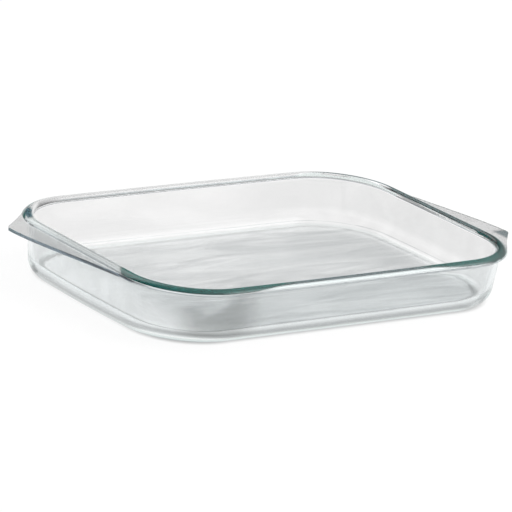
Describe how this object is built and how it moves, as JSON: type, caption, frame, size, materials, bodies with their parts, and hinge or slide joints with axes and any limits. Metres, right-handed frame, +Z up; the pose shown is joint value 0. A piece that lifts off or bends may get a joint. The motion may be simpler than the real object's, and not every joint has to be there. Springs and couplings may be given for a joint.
{
  "type": "glass baking dish",
  "caption": "Shallow open rectangular baking dish of clear pressed glass with rounded corners, a rim bead and swept tab handles at its ends, for roasting and serving.",
  "frame": {"origin": "on the standing plane, under the middle of the dish", "axes": "+Z up out of the open top, +X along the length towards one handle, +Y across the width"},
  "size_m": [0.3664, 0.2398, 0.044],
  "materials": {
    "glass": "polished"
  },
  "bodies": {
    "root": {"glass_dish": "glass"}
  },
  "joints": []
}
